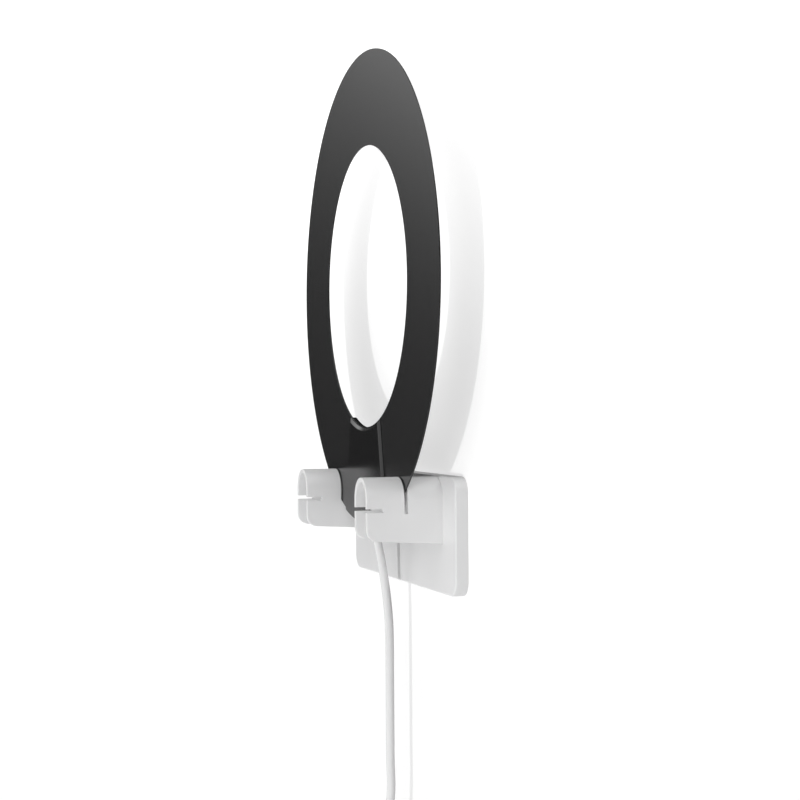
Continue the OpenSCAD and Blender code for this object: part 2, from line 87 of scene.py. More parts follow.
AIM, TILT, ROLL = math.radians(72.7355), -0.0005, -0.006416
ahead = Vector((-math.sin(AIM) * math.cos(TILT), math.cos(AIM) * math.cos(TILT), math.sin(TILT)))
across = Vector((math.cos(AIM), math.sin(AIM), 0))
above = across.cross(ahead)
right = across * math.cos(ROLL) + above * math.sin(ROLL)
top = above * math.cos(ROLL) - across * math.sin(ROLL)
camera_data = bpy.data.cameras.new("camera")
camera_data.lens = 80.524
camera_data.sensor_width = 36
camera_data.clip_start, camera_data.clip_end = 0.01, 50
camera = bpy.data.objects.new("camera", camera_data)
turn = Matrix((right, top, -ahead)).transposed().to_4x4()
camera.matrix_world = Matrix.Translation((0.91149, -0.29002, 0.06756)) @ turn
scene.collection.objects.link(camera)
scene.camera = camera

# ---- shaping helpers ----

ARC_STEP = 4      # degrees between the points of a curved outline
SHARP = 32        # degrees between the faces at a sharp edge
MERGE = 0.0005    # points closer than this are one
NEAR = 0.01       # tolerance when edges are picked by place


def outline(bm, y, runs, steps=None):
    """Closed loop in the upright plane at y, from corners (x, z) and arcs
    (x, z, radius, from, to), in degrees from straight up towards +X."""
    before = set(bm.edges)
    ends = []
    for run in runs:
        if len(run) == 2:
            corner = bm.verts.new((run[0], y, run[1]))
            ends.append((corner, corner))
            continue
        x, z, radius, start, stop = run
        angle = math.radians(start)
        first = bm.verts.new((x + radius * math.sin(angle), y, z + radius * math.cos(angle)))
        made = bmesh.ops.spin(
            bm, geom=[first], cent=(x, y, z), axis=(0, 1, 0), dvec=(0, 0, 0),
            angle=math.radians(stop - start),
            steps=steps or max(2, math.ceil(abs(stop - start) / ARC_STEP)),
            use_merge=False, use_normal_flip=False, use_duplicate=False)
        last = [v for v in made["geom_last"] if isinstance(v, bmesh.types.BMVert)][0]
        ends.append((first, last))
    for here, there in zip(ends, ends[1:] + ends[:1]):
        bm.edges.new((here[1], there[0]))
    return [e for e in bm.edges if e not in before]


def cap(bm, loop):
    return bmesh.ops.contextual_create(bm, geom=loop)["faces"]


def prism(runs, y0, y1):
    """Solid with an upright outline, from y0 to y1."""
    bm = bmesh.new()
    face = cap(bm, outline(bm, y0, runs))
    made = bmesh.ops.extrude_face_region(bm, geom=face)["geom"]
    moved = [v for v in made if isinstance(v, bmesh.types.BMVert)]
    bmesh.ops.translate(bm, vec=(0, y1 - y0, 0), verts=moved)
    bmesh.ops.recalc_face_normals(bm, faces=bm.faces)
    return bm


def stack(bm, loops, closed=False):
    """Walls from each loop to the next, and a face on both ends or a closed round."""
    pairs = list(zip(loops, loops[1:] + (loops[:1] if closed else [])))
    for low, high in pairs:
        bmesh.ops.bridge_loops(bm, edges=low + high)
    if not closed:
        cap(bm, loops[0])
        cap(bm, loops[-1])
    bmesh.ops.recalc_face_normals(bm, faces=bm.faces)


def rounded(x0, z0, x1, z1, radii):
    """Rectangle with its own radius at each corner: top right, then clockwise."""
    a, b, c, d = radii
    return [(x1 - a, z1 - a, a, 0, 90), (x1 - b, z0 + b, b, 90, 180),
            (x0 + c, z0 + c, c, 180, 270), (x0 + d, z1 - d, d, 270, 360)]


def turned(profile, x=0, y=0, z=0, along="Z", steps=48, bm=None):
    """Round solid: (radius, place) pairs turned about an axis, closed as given."""
    bm = bm or bmesh.new()
    if along == "Z":
        points = [(x + r, y, z + h) for r, h in profile]
        axis, centre = (0, 0, 1), (x, y, z)
    else:
        points = [(x + r, y + h, z) for r, h in profile]
        axis, centre = (0, 1, 0), (x, y, z)
    verts = [bm.verts.new(p) for p in points]
    edges = [bm.edges.new(pair) for pair in zip(verts, verts[1:])]
    if profile[0][0] > 0:
        edges.append(bm.edges.new((verts[-1], verts[0])))
    bmesh.ops.spin(bm, geom=verts + edges, cent=centre, axis=axis, dvec=(0, 0, 0),
                   angle=math.tau, steps=steps, use_merge=True, use_normal_flip=False,
                   use_duplicate=False)
    bmesh.ops.remove_doubles(bm, verts=bm.verts, dist=MERGE)
    bmesh.ops.recalc_face_normals(bm, faces=bm.faces)
    return bm


def block(low, high):
    """Box between two corners."""
    bm = bmesh.new()
    low, high = Vector(low), Vector(high)
    place = Matrix.Translation((low + high) / 2) @ Matrix.Diagonal((*(high - low), 1))
    bmesh.ops.create_cube(bm, size=1, matrix=place)
    return bm


def sideways(bm):
    """Turns an upright outline's X to Y, for shapes drawn from the side."""
    bmesh.ops.rotate(bm, verts=bm.verts, cent=(0, 0, 0),
                     matrix=Matrix.Rotation(math.pi / 2, 3, "Z"))
    return bm


def gather(*shapes):
    """One bmesh from several, which don't touch each other."""
    whole = bmesh.new()
    for bm in shapes:
        mesh = bpy.data.meshes.new("gathered")
        bm.to_mesh(mesh)
        bm.free()
        whole.from_mesh(mesh)
        bpy.data.meshes.remove(mesh)
    return whole


def combine(bm, tool, operation="DIFFERENCE"):
    """Cuts a solid by another, or joins the two."""
    both = []
    for shape in (bm, tool):
        mesh = bpy.data.meshes.new("solid")
        shape.to_mesh(mesh)
        shape.free()
        both.append(bpy.data.objects.new("solid", mesh))
        scene.collection.objects.link(both[-1])
    modifier = both[0].modifiers.new("combine", "BOOLEAN")
    modifier.operation, modifier.solver, modifier.object = operation, "EXACT", both[1]
    bpy.context.view_layer.update()
    done = both[0].evaluated_get(bpy.context.evaluated_depsgraph_get())
    result = bmesh.new()
    result.from_mesh(done.to_mesh())
    done.to_mesh_clear()
    for obj in both:
        mesh = obj.data
        bpy.data.objects.remove(obj)
        bpy.data.meshes.remove(mesh)
    bmesh.ops.remove_doubles(result, verts=result.verts, dist=MERGE)
    return result


def soften(bm, width, segments, where=lambda edge: True, angle=SHARP):
    """Rounds the sharp edges that lie where it says."""
    bm.normal_update()
    sharp = [e for e in bm.edges
             if len(e.link_faces) == 2 and e.calc_face_angle(0) > math.radians(angle) and where(e)]
    bmesh.ops.bevel(bm, geom=sharp, offset=width, offset_type="OFFSET", affect="EDGES",
                    segments=segments, profile=0.5, material=-1, clamp_overlap=True)


def middle(edge):
    return (edge.verts[0].co + edge.verts[1].co) / 2


def piece(bm, name, body, look, stands_for):
    """Ends a shape: merged, turned outwards, in metres, and riding on its body."""
    bmesh.ops.remove_doubles(bm, verts=bm.verts, dist=MERGE)
    bmesh.ops.dissolve_degenerate(bm, dist=MERGE, edges=bm.edges)
    bmesh.ops.recalc_face_normals(bm, faces=bm.faces)
    bmesh.ops.scale(bm, verts=bm.verts, vec=(MM, MM, MM))
    mesh = bpy.data.meshes.new(name)
    bm.to_mesh(mesh)
    bm.free()
    mesh.materials.append(look)
    mesh.shade_smooth()
    mesh.set_sharp_from_angle(angle=math.radians(SHARP))
    obj = bpy.data.objects.new(name, mesh)
    scene.collection.objects.link(obj)
    shading = obj.modifiers.new("flat_faces", "WEIGHTED_NORMAL")
    shading.weight, shading.keep_sharp = 100, True
    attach(obj, body)
    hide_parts(*stands_for)
    return obj


# ---- finishes ----

def finish(name, dark, light, roughness, patch, grain, depth, strength, stretch=(1, 1, 1),
           **sockets):
    """Surface with patches of two close colours and a fine grain, sizes per metre."""
    look = bpy.data.materials.new(name)
    look.use_nodes = True
    tree = look.node_tree
    shader = tree.nodes["Principled BSDF"]
    for socket, value in sockets.items():
        shader.inputs[socket.replace("_", " ")].default_value = value
    place = tree.nodes.new("ShaderNodeTexCoord")
    mapping = tree.nodes.new("ShaderNodeMapping")
    mapping.inputs["Scale"].default_value = stretch
    tree.links.new(place.outputs["Object"], mapping.inputs["Vector"])

    def noise(scale, detail):
        node = tree.nodes.new("ShaderNodeTexNoise")
        node.inputs["Scale"].default_value = scale
        node.inputs["Detail"].default_value = detail
        tree.links.new(mapping.outputs["Vector"], node.inputs["Vector"])
        return node

    patches, fine = noise(patch, 4), noise(grain, 3)
    mix = tree.nodes.new("ShaderNodeMix")
    mix.data_type = "RGBA"
    mix.inputs["A"].default_value = (*dark, 1)
    mix.inputs["B"].default_value = (*light, 1)
    tree.links.new(patches.outputs["Fac"], mix.inputs["Factor"])
    tree.links.new(mix.outputs["Result"], shader.inputs["Base Color"])
    spread = tree.nodes.new("ShaderNodeMapRange")
    spread.inputs["To Min"].default_value, spread.inputs["To Max"].default_value = roughness
    tree.links.new(fine.outputs["Fac"], spread.inputs["Value"])
    tree.links.new(spread.outputs["Result"], shader.inputs["Roughness"])
    bump = tree.nodes.new("ShaderNodeBump")
    bump.inputs["Strength"].default_value = strength
    bump.inputs["Distance"].default_value = depth
    tree.links.new(fine.outputs["Fac"], bump.inputs["Height"])
    tree.links.new(bump.outputs["Normal"], shader.inputs["Normal"])
    look["height"] = fine.name
    return look


def bands(look, axis, scale, light, share, distortion=0.0):
    """Adds regular bands across a finish, in colour and in relief."""
    tree = look.node_tree
    wave = tree.nodes.new("ShaderNodeTexWave")
    wave.wave_type, wave.wave_profile, wave.bands_direction = "BANDS", "TRI", axis
    wave.inputs["Scale"].default_value = scale
    wave.inputs["Distortion"].default_value = distortion
    place = [n for n in tree.nodes if n.bl_idname == "ShaderNodeTexCoord"][0]
    tree.links.new(place.outputs["Object"], wave.inputs["Vector"])
    old = [n for n in tree.nodes if n.bl_idname == "ShaderNodeMix"][0]
    mix = tree.nodes.new("ShaderNodeMix")
    mix.data_type = "RGBA"
    amount = tree.nodes.new("ShaderNodeMath")
    amount.operation = "MULTIPLY"
    amount.inputs[1].default_value = share
    tree.links.new(wave.outputs["Fac"], amount.inputs[0])
    tree.links.new(amount.outputs[0], mix.inputs["Factor"])
    tree.links.new(old.outputs["Result"], mix.inputs["A"])
    mix.inputs["B"].default_value = (*light, 1)
    shader = tree.nodes["Principled BSDF"]
    tree.links.new(mix.outputs["Result"], shader.inputs["Base Color"])
    bump = [n for n in tree.nodes if n.bl_idname == "ShaderNodeBump"][0]
    total = tree.nodes.new("ShaderNodeMath")
    total.operation = "ADD"
    tree.links.new(wave.outputs["Fac"], total.inputs[0])
    tree.links.new(tree.nodes[look["height"]].outputs["Fac"], total.inputs[1])
    tree.links.new(total.outputs[0], bump.inputs["Height"])
    return look


white_plastic = finish("white_plastic", (0.74, 0.74, 0.745), (0.78, 0.78, 0.78), (0.28, 0.38),
                       patch=22, grain=3200, depth=0.00002, strength=0.25)
black_sheet = finish("black_sheet", (0.006, 0.006, 0.0065), (0.009, 0.009, 0.009), (0.20, 0.26),
                     patch=14, grain=5200, depth=0.00001, strength=0.25)
black_cover = finish("black_cover", (0.005, 0.005, 0.0055), (0.008, 0.008, 0.008), (0.16, 0.22),
                     patch=40, grain=4200, depth=0.00001, strength=0.12,
                     Specular_IOR_Level=0.36)
pad_rubber = finish("pad_rubber", (0.055, 0.055, 0.058), (0.09, 0.09, 0.09), (0.7, 0.9),
                    patch=300, grain=2600, depth=0.00008, strength=0.8)
cable_white = finish("cable_white", (0.72, 0.72, 0.725), (0.78, 0.78, 0.78), (0.2, 0.3),
                     patch=60, grain=1800, depth=0.00003, strength=0.25)
plug_white = finish("plug_white", (0.70, 0.70, 0.70), (0.76, 0.76, 0.76), (0.4, 0.55),
                    patch=90, grain=2600, depth=0.00003, strength=0.3)
strap_grey = finish("strap_grey", (0.05, 0.05, 0.055), (0.12, 0.12, 0.125), (0.75, 0.95),
                    patch=2200, grain=5200, depth=0.00025, strength=1.0)
steel = finish("steel", (0.46, 0.46, 0.47), (0.58, 0.58, 0.58), (0.25, 0.42),
               patch=500, grain=6000, depth=0.00001, strength=0.3, Metallic=1.0)
nickel = finish("nickel", (0.62, 0.60, 0.56), (0.70, 0.68, 0.64), (0.16, 0.30),
                patch=250, grain=5000, depth=0.00001, strength=0.25, Metallic=1.0,
                stretch=(1, 1, 8))
foil = finish("foil", (0.66, 0.65, 0.63), (0.74, 0.73, 0.72), (0.22, 0.38),
              patch=120, grain=2400, depth=0.00002, strength=0.4, Metallic=1.0,
              stretch=(6, 1, 1))
spring_metal = finish("spring_metal", (0.68, 0.55, 0.30), (0.78, 0.66, 0.40), (0.22, 0.34),
                      patch=300, grain=4200, depth=0.00001, strength=0.3, Metallic=1.0)
board = bands(finish("board", (0.010, 0.075, 0.030), (0.016, 0.11, 0.045), (0.3, 0.42),
                     patch=120, grain=3000, depth=0.00005, strength=0.3),
              "X", 55, (0.05, 0.20, 0.08), share=0.5, distortion=3.0)
ferrite = finish("ferrite", (0.018, 0.018, 0.020), (0.05, 0.048, 0.046), (0.5, 0.8),
                 patch=2200, grain=6000, depth=0.00005, strength=0.7)
copper_wire = finish("copper_wire", (0.48, 0.17, 0.07), (0.62, 0.26, 0.12), (0.2, 0.34),
                     patch=700, grain=4800, depth=0.00001, strength=0.3, Metallic=1.0)
chip = bands(finish("chip", (0.30, 0.20, 0.12), (0.38, 0.27, 0.17), (0.4, 0.55),
                    patch=900, grain=5200, depth=0.00003, strength=0.4),
             "Z", 60, (0.62, 0.62, 0.62), share=0.7)
insulator = finish("insulator", (0.72, 0.70, 0.62), (0.80, 0.78, 0.71), (0.4, 0.52),
                   patch=300, grain=3000, depth=0.00003, strength=0.3)

# ---- cable: lead, hank and short end to the plug ----

LEAD = [(0, -20.6, -4), (0, -19.3, -10), (0, -17.8, -18), (0, -16, -29), (0, -14.6, -40),
        (0, -13.7, -51), (0, -13.4, -63), (0, -13.4, -75), (0, -13.4, -98), (0, -13.4, -122),
        (0, -13.4, -145), (-1, -15, -155), (-3.5, -18.6, -165), (-6.5, -20.3, -175),
        (-10.4, -20.3, -184), (-13, -20.3, -194), (-13.8, -20.3, -206)]
TAIL = [(-18.4, -15.7, -254), (-18, -15, -261), (-17.4, -14.2, -267), (-17, -13.4, -274),
        (-17, -13.4, -276)]
LEG = HANK_TOP - HANK_LOW
OUTER_R = FOLD_R + 2 * CABLE_R


def ease(t):
    t = min(max(t, 0), 1)
    return t * t * (3 - 2 * t)


def hank():
    """Six turns, wound from the front layer to the back on the inner radius, then forwards
    on the outer one, and a last run down to the plug."""
    points = []
    bend = (0, 0.2, 0.4, 0.6, 0.8, 1)
    layer, radius = LAYERS[0], FOLD_R
    for turn_no in range(6):
        inner = turn_no < 3
        next_layer = LAYERS[(1, 2, 3, 3, 2, 1)[turn_no]]
        next_radius = FOLD_R if inner else OUTER_R
        first = 0.45 if turn_no == 0 else 0.12
        for part in (first, 0.5, 0.88):
            points.append((-radius, layer, HANK_TOP - LEG * part))
        for part in bend:
            angle = math.pi * part
            y = layer + (next_layer - layer) * ease(part) if turn_no > 3 else layer
            points.append((-radius * math.cos(angle), y, HANK_LOW - radius * math.sin(angle)))
        if turn_no > 3:
            layer = next_layer
        for part in (0.17, 0.34, 0.5, 0.66, 0.83):
            x = radius + (next_radius - radius) * ease(part * 2)
            y = layer + (next_layer - layer) * ease(part * 2 - 1)
            points.append((x, y, HANK_LOW + LEG * part))
        layer, radius = next_layer, next_radius
        for part in bend:
            angle = math.pi * part
            points.append((radius * math.cos(angle), layer, HANK_TOP + radius * math.sin(angle)))
    for part in (0.15, 0.4, 0.65, 0.9):
        points.append((-radius, layer, HANK_TOP - LEG * part))
    return points


def cable_curve(points):
    curve = bpy.data.curves.new("antenna_cord", "CURVE")
    curve.dimensions = "3D"
    curve.bevel_depth = CABLE_R * MM
    curve.bevel_resolution = 6
    curve.resolution_u = 6
    curve.use_fill_caps = True
    spline = curve.splines.new("BEZIER")
    spline.bezier_points.add(len(points) - 1)
    for knot, point in zip(spline.bezier_points, points):
        knot.co = Vector(point) * MM
        knot.handle_left_type = knot.handle_right_type = "AUTO"
    curve.materials.append(cable_white)
    obj = bpy.data.objects.new("antenna_cord", curve)
    scene.collection.objects.link(obj)
    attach(obj, "antenna")
    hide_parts("antenna_cable", "cable_bundle", "plug_tail")
    return obj


cord = cable_curve(LEAD + hank() + TAIL)

# ---- wall bracket: plate and arms in one moulding ----


def wall_plate():
    bm = prism(rounded(-PLATE_W / 2, -PLATE_H / 2, PLATE_W / 2, PLATE_H / 2,
                       [PLATE_CORNER] * 4), -PLATE_T, 0)
    soften(bm, FRONT_ROUND, 4, lambda e: abs(middle(e).y + PLATE_T) < NEAR)
    soften(bm, BACK_ROUND, 2, lambda e: abs(middle(e).y) < NEAR)
    pitch = (PLATE_W / 2 - PLATE_WALL - LAND_HALF + RIB_T) / BAYS
    high = PLATE_H / 2 - PLATE_WALL
    pockets = []
    for bay in range(BAYS):
        near = LAND_HALF + bay * pitch
        corner = PLATE_CORNER - PLATE_WALL if bay == BAYS - 1 else POCKET_CORNER
        for side in (-1, 1):
            for up in (-1, 1):
                radii = [POCKET_CORNER] * 4
                radii[(0 if up > 0 else 1) if side > 0 else (3 if up > 0 else 2)] = corner
                x0, x1 = sorted((side * near, side * (near + pitch - RIB_T)))
                z0, z1 = sorted((up * RIB_T / 2, up * high))
                pocket = prism(rounded(x0, z0, x1, z1, radii), -POCKET_DEPTH, 1)
                soften(pocket, POCKET_ROUND, 2,
                       lambda e: abs(middle(e).y + POCKET_DEPTH) < NEAR)
                pockets.append(pocket)
    bosses = [turned([(0, -6), (r, -6), (r, 2), (0, 2)], x=x, z=z, along="Y")
              for r, x, z in [(SCREW_BOSS_R, s * SCREW_X, SCREW_Z) for s in (-1, 1)]
              + [(PAD_SEAT_R, s * PAD_X, u * PAD_Z) for s in (-1, 1) for u in (-1, 1)]]
    bm = combine(bm, combine(gather(*pockets), gather(*bosses)))
    sink = 2 * SCREW_R + 1
    holes = [turned([(0, -PLATE_T - 1), (sink, -PLATE_T - 1), (SCREW_R, SCREW_R - PLATE_T),
                     (SCREW_R, 1), (0, 1)], x=s * SCREW_X, z=SCREW_Z, along="Y") for s in (-1, 1)]
    seats = [turned([(0, -PAD_T), (PAD_R + 0.1, -PAD_T), (PAD_R + 0.1, 1), (0, 1)],
                    x=s * PAD_X, z=u * PAD_Z, along="Y") for s in (-1, 1) for u in (-1, 1)]
    return combine(bm, gather(*holes, *seats))


def arm(x):
    low, arch = -9, ARM_TOP - ARM_R
    inner = ARM_R - ARM_WALL
    bm = prism([(x - ARM_R, low), (x, arch, ARM_R, -90, 90), (x + ARM_R, low),
                (x + inner, low), (x, arch, inner, 90, -90), (x - inner, low)],
               -ARM_REACH, -PLATE_T + 0.5)
    cut = bmesh.ops.bisect_plane(
        bm, geom=bm.verts[:] + bm.edges[:] + bm.faces[:], plane_co=(0, -ARM_REACH, ARM_LOW),
        plane_no=Vector((0, -ARM_SLOPE, -1)).normalized(), clear_outer=True, dist=0.0001)
    rim = [e for e in cut["geom_cut"] if isinstance(e, bmesh.types.BMEdge)]
    bmesh.ops.holes_fill(bm, edges=rim)
    bmesh.ops.recalc_face_normals(bm, faces=bm.faces)
    corner_z = ARM_LOW - ARM_CORNER * ARM_SLOPE + ARM_CORNER
    corner_y = -ARM_REACH + ARM_CORNER
    nose = sideways(prism([(-ARM_REACH - 2, corner_z),
                           (corner_y, corner_z, ARM_CORNER, 270, 180 + ARM_LEAN),
                           (corner_y, ARM_LOW - 4), (-ARM_REACH - 2, ARM_LOW - 4)],
                          -x - 20, -x + 20))
    bm = combine(bm, nose)
    soften(bm, ARM_ROUND, 3, lambda e: middle(e).y < -PLATE_T - 0.1)
    slots = gather(block((x - 20, SLOT_FRONT, SLOT_FLOOR), (x + 20, SLOT_BACK, ARM_TOP + 5)),
                   block((x - 20, -ARM_REACH - 5, END_SLOT_LOW),
                         (x + 20, END_SLOT_BACK, END_SLOT_HIGH)))
    return combine(bm, slots)


bracket = wall_plate()
for side in (-1, 1):
    bracket = combine(bracket, arm(side * ARM_X), "UNION")
piece(bracket, "wall_bracket", "bracket", white_plastic,
      ("wall_plate", "arm_left", "arm_right"))

pads = bmesh.new()
for side in (-1, 1):
    for up in (-1, 1):
        turned([(0, -0.79), (4.8, -0.79), (4.98, -0.6), (4.98, -0.15), (4.8, 0), (3.9, 0),
                (3.7, -0.15), (3.5, 0), (2.6, 0), (2.4, -0.15), (2.2, 0), (1.3, 0),
                (1.1, -0.15), (0.9, 0), (0, 0)],
               x=side * PAD_X, z=up * PAD_Z, along="Y", bm=pads)
piece(pads, "grip_pads", "bracket", pad_rubber, ("anti_slip_pads",))

# ---- ring panel: two skins round a foil ----

RING_STEPS = 256


def ring_loop(bm, y, radius, z):
    place = Matrix.Translation((0, y, z)) @ Matrix.Rotation(math.pi / 2, 4, "X")
    made = bmesh.ops.create_circle(bm, cap_ends=False, radius=radius, segments=RING_STEPS,
                                   matrix=place)
    return list({e for v in made["verts"] for e in v.link_edges})


def fixing_holes(y0, y1, clearance):
    """Cutters for the cover's studs and posts, on both sides."""
    return gather(*[turned([(0, y0), (r + clearance, y0), (r + clearance, y1), (0, y1)],
                           x=s * x, z=z, along="Y", steps=32)
                    for s in (-1, 1)
                    for r, x, z in ((STUD_R, STUD_X, STUD_Z), (POST_R, POST_X, POST_Z))])


def skin(loops):
    bm = bmesh.new()
    stack(bm, [ring_loop(bm, *loop) for loop in loops], closed=True)
    rims = (RING_R, RING_Z), (HOLE_R, HOLE_Z)
    soften(bm, 0.07, 2, lambda e: any(
        abs(math.hypot(e.verts[0].co.x, e.verts[0].co.z - z) - r) < NEAR for r, z in rims))
    return combine(bm, fixing_holes(PANEL_FRONT - 1, PANEL_BACK + 1, 0.1))


piece(skin([(PANEL_FRONT, HOLE_R, HOLE_Z), (PANEL_FRONT, RING_R, RING_Z),
            (PANEL_MID, RING_R, RING_Z), (PANEL_MID, HOLE_R, HOLE_Z)]),
      "ring_front_skin", "antenna", black_sheet, ("panel_front_skin",))
foil_out, foil_in = (RING_R - FOIL_MARGIN, RING_Z), (HOLE_R + FOIL_MARGIN, HOLE_Z)
piece(skin([(PANEL_BACK, HOLE_R, HOLE_Z), (PANEL_BACK, RING_R, RING_Z),
            (PANEL_MID, RING_R, RING_Z), (PANEL_MID, *foil_out), (FOIL_BACK, *foil_out),
            (FOIL_BACK, *foil_in), (PANEL_MID, *foil_in), (PANEL_MID, HOLE_R, HOLE_Z)]),
      "ring_rear_skin", "antenna", black_sheet, ("panel_rear_skin",))

# ---- covers of the boss ----


def boss_runs(inset, head_r, foot_r):
    """Outline between the ring's opening and its rim, with straight flared sides."""
    def meet(radius, lift):
        start = COVER_HALF - COVER_FLARE * COVER_DOWN - inset
        a = COVER_FLARE ** 2 + 1
        b = 2 * (COVER_FLARE * start + lift)
        c = start ** 2 + lift ** 2 - radius ** 2
        down = (-b + math.sqrt(b * b - 4 * a * c)) / (2 * a)
        return math.degrees(math.atan2(start + COVER_FLARE * down, -down - lift))
    head, foot = meet(head_r, HOLE_Z - RING_Z), meet(foot_r, 0)
    return [(0, HOLE_Z, head_r, 360 - head, head), (0, RING_Z, foot_r, foot, 360 - foot)]


def front_cover():
    def head_at(y):
        return HEAD_R + 2 * (PANEL_FRONT + COVER_EDGE - y) / (COVER_T + 2 * COVER_EDGE)
    bm = bmesh.new()
    loops = []
    for y, inset in ((PANEL_FRONT, 0), (PANEL_FRONT - COVER_EDGE, 0),
                     (PANEL_FRONT - COVER_T, COVER_BEVEL)):
        loops.append(outline(bm, y, boss_runs(inset, head_at(y), FOOT_R), steps=40))
    stack(bm, loops)
    soften(bm, 0.14, 2, lambda e: middle(e).y < PANEL_FRONT - NEAR, angle=12)
    pins = gather(*[turned([(0, PANEL_FRONT - 0.1), (r, PANEL_FRONT - 0.1), (r, end - 0.25),
                            (r - 0.25, end), (0, end)], x=s * x, z=z, along="Y", steps=32)
                    for s in (-1, 1)
                    for r, x, z, end in ((STUD_R, STUD_X, STUD_Z, PANEL_BACK + 1.6),
                                         (POST_R, POST_X, POST_Z, POST_BACK))])
    bm = combine(bm, pins, "UNION")
    bores = gather(*[turned([(0, PANEL_BACK), (1, PANEL_BACK), (1, POST_BACK + 1),
                             (0, POST_BACK + 1)], x=s * POST_X, z=POST_Z, along="Y", steps=24)
                     for s in (-1, 1)])
    return combine(bm, bores)


piece(front_cover(), "boss_front_cover", "antenna", black_cover, ("front_cover",))


def rear_cover():
    bm = prism(boss_runs(0, HEAD_R, FOOT_R), PANEL_BACK, REAR_DEEP_Y)
    wedge = sideways(prism([(REAR_TOP_Y, 80), (REAR_TOP_Y, REAR_SLOPE_TOP),
                            (REAR_DEEP_Y, REAR_SLOPE_LOW), (REAR_DEEP_Y + 5, REAR_SLOPE_LOW),
                            (REAR_DEEP_Y + 5, 80)], -60, 60))
    bm = combine(bm, wedge)
    soften(bm, 0.7, 4, lambda e: middle(e).y > PANEL_BACK + NEAR, angle=15)
    bmesh.ops.recalc_face_normals(bm, faces=bm.faces)
    open_side = [f for f in bm.faces if all(abs(v.co.y - PANEL_BACK) < 0.001 for v in f.verts)]
    bmesh.ops.delete(bm, geom=open_side, context="FACES")
    mesh = bpy.data.meshes.new("shell")
    bm.to_mesh(mesh)
    bm.free()
    shell = bpy.data.objects.new("shell", mesh)
    scene.collection.objects.link(shell)
    wall = shell.modifiers.new("wall", "SOLIDIFY")
    wall.thickness, wall.offset, wall.use_even_offset, wall.use_rim = REAR_WALL, -1, True, True
    bpy.context.view_layer.update()
    done = shell.evaluated_get(bpy.context.evaluated_depsgraph_get())
    bm = bmesh.new()
    bm.from_mesh(done.to_mesh())
    done.to_mesh_clear()
    bpy.data.objects.remove(shell)
    bpy.data.meshes.remove(mesh)
    tower_r, tower_top = POST_R + 0.6, REAR_DEEP_Y - 0.7
    towers = gather(*[turned([(0, POST_BACK), (tower_r, POST_BACK), (tower_r, tower_top),
                              (0, tower_top)], x=s * POST_X, z=POST_Z, along="Y")
                      for s in (-1, 1)])
    bm = combine(bm, towers, "UNION")
    shank, head = 1.1, 2.1
    holes = [turned([(0, POST_BACK - 1), (shank, POST_BACK - 1), (shank, SCREW_HEAD_Y),
                     (head, SCREW_HEAD_Y), (head, REAR_DEEP_Y - 0.4),
                     (head + 0.5, REAR_DEEP_Y + 0.1),
                     (head + 0.5, REAR_DEEP_Y + 1), (0, REAR_DEEP_Y + 1)],
                    x=s * POST_X, z=POST_Z, along="Y") for s in (-1, 1)]
    way_out_r = NECK_R + 0.1
    way_out = turned([(0, -1), (way_out_r, -1), (way_out_r, 4.5), (0, 4.5)], y=CABLE_OUT_Y)
    return combine(bm, gather(*holes, way_out))


piece(rear_cover(), "boss_rear_cover", "antenna", black_cover, ("rear_cover",))


def cover_screws():
    screws = bmesh.new()
    tip, point_end, shank = -24.44, -23.6, 0.95
    for side in (-1, 1):
        turned([(0, tip), (0.5, tip), (shank, point_end), (shank, SCREW_HEAD_Y),
                (1.9, SCREW_HEAD_Y), (2, SCREW_HEAD_Y + 0.12), (2, SCREW_HEAD_Y + 0.5),
                (1.7, SCREW_HEAD_Y + 0.95), (1.1, SCREW_HEAD_Y + 1.17), (0, SCREW_HEAD_Y + 1.2)],
               x=side * POST_X, z=POST_Z, along="Y", bm=screws)
    front, back = SCREW_HEAD_Y + 0.35, SCREW_HEAD_Y + 2
    for wide, tall in ((1.1, 0.22), (0.22, 1.1)):
        slots = gather(*[block((s * POST_X - wide, front, POST_Z - tall),
                               (s * POST_X + wide, back, POST_Z + tall)) for s in (-1, 1)])
        screws = combine(screws, slots)
    return screws


piece(cover_screws(), "boss_cover_screws", "antenna", steel, ("cover_screws",))


def strain_relief():
    """Tapered sleeve with three grooves, a neck through the cover and a flange."""
    profile = [(CABLE_R + 0.02, RELIEF_LOW), (2.62, RELIEF_LOW), (2.8, RELIEF_LOW + 0.25)]
    for groove in range(3):
        low = RELIEF_LOW + 0.9 + 1.5 * groove
        r = 2.95 + 0.24 * groove
        profile += [(r, low), (r - 0.32, low + 0.12), (r - 0.28, low + 0.55),
                    (r + 0.1, low + 0.68)]
    profile += [(3.8, BOSS_FOOT - 0.5), (3.9, BOSS_FOOT - 0.3), (3.9, BOSS_FOOT - 0.1),
                (NECK_R, BOSS_FOOT - 0.1), (NECK_R, BOSS_FOOT + 1.7), (FLANGE_R, BOSS_FOOT + 1.7),
                (FLANGE_R, BOSS_FOOT + 2.7), (CABLE_R + 0.02, BOSS_FOOT + 2.7)]
    return turned(profile, y=CABLE_OUT_Y, steps=40)


piece(strain_relief(), "cable_relief", "antenna", cable_white, ("strain_relief",))

# ---- tie round the hank ----


